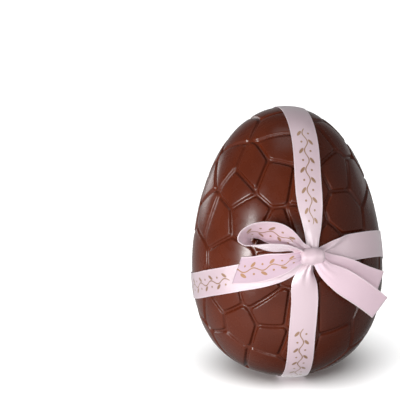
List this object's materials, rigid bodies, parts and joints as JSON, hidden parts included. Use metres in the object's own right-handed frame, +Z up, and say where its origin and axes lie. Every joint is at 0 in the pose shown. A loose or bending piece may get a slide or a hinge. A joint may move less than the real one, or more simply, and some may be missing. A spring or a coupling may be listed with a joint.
{
  "type": "chocolate egg",
  "caption": "Moulded chocolate egg with a crazy-paving shell of raised panels, standing on its blunt end and tied both ways with satin ribbon that ends in a bow with long slanted tails.",
  "frame": {"origin": "on the table, in the middle of the flat spot that the egg rests on, at the underside of the ribbon that passes beneath it", "axes": "+Z up the axis of the egg, from its blunt end to its pointed end; -Y towards the side with the bow"},
  "size_m": [0.1085, 0.1194, 0.1512],
  "materials": {
    "chocolate": "moulded milk chocolate with a soft satin sheen",
    "ribbon": "pale pink satin ribbon with a faint gold print"
  },
  "bodies": {
    "root": {"egg": "chocolate", "ribbon": "ribbon"}
  },
  "joints": []
}
